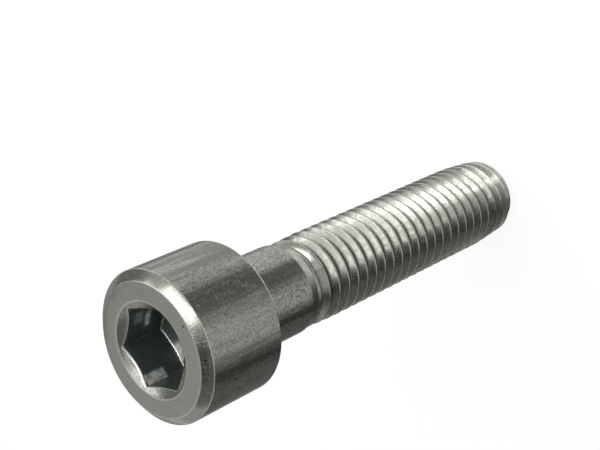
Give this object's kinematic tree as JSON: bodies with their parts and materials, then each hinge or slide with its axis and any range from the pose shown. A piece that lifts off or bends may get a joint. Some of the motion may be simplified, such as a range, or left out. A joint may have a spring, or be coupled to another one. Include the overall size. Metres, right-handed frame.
{
  "type": "hex socket cap screw",
  "caption": "Cap screw with a plain cylindrical head, a hexagonal socket, a short plain shank and a right-hand thread.",
  "frame": {"origin": "centre of the flat end of the thread, which the screw stands on", "axes": "+Z along the axis of the screw from the tip to the head, +X towards one corner of the hexagonal socket"},
  "size_m": [0.016, 0.016, 0.055],
  "materials": {
    "zinc_plated_steel": "bright zinc plate, satin, with forging and rolling marks"
  },
  "bodies": {
    "root": {"cap_screw": "zinc_plated_steel"}
  },
  "joints": []
}
